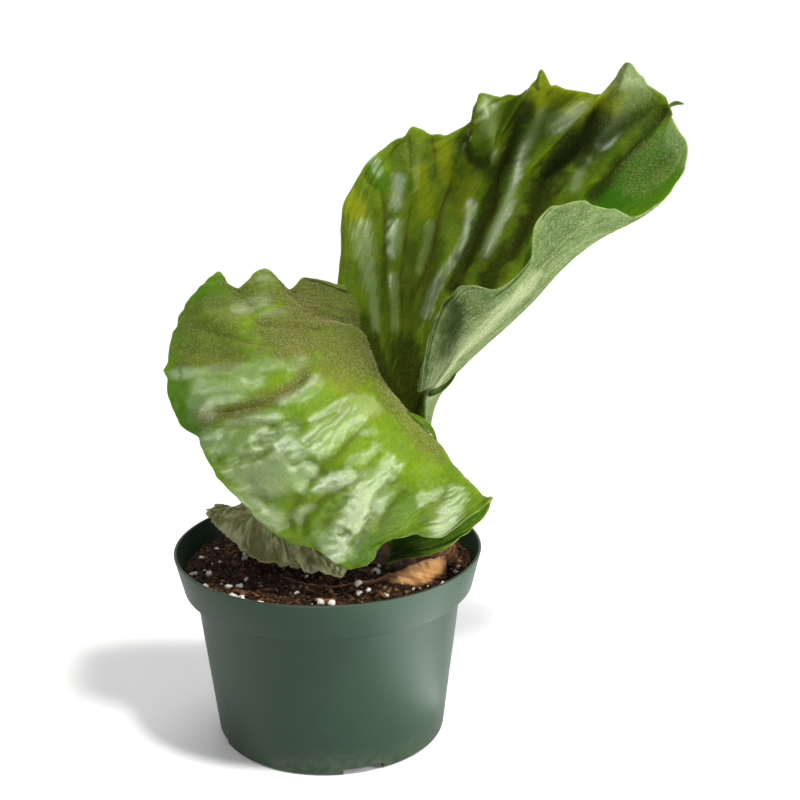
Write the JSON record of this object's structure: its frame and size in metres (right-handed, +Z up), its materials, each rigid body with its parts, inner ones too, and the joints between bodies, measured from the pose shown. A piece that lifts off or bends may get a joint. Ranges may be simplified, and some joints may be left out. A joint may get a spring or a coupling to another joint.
{
  "type": "potted staghorn fern",
  "caption": "Elephant-ear staghorn fern with broad undivided wavy fronds and old shield fronds, growing in a round plastic nursery pot with a collar band.",
  "frame": {"origin": "centre of the pot's flat base", "axes": "+Z up along the pot's axis, -Y to the front, +X to the side that the back frond leans to"},
  "size_m": [0.2495, 0.1524, 0.3265],
  "materials": {
    "pot_plastic": "satin moulded green plastic",
    "potting_mix": "damp peat and bark with white perlite",
    "rhizome": "brown papery scales",
    "front_frond": "leathery, glossy with pale down",
    "back_frond": "leathery, glossy above and pale below",
    "grey_shield": "dry, fibrous, papery",
    "dry_shield": "dry, brown, papery"
  },
  "bodies": {
    "root": {"pot": "pot_plastic", "potting_mix": "potting_mix", "rhizome": "rhizome", "front_frond": "front_frond", "back_frond": "back_frond", "grey_shield": "grey_shield", "dry_shield": "dry_shield"}
  },
  "joints": []
}
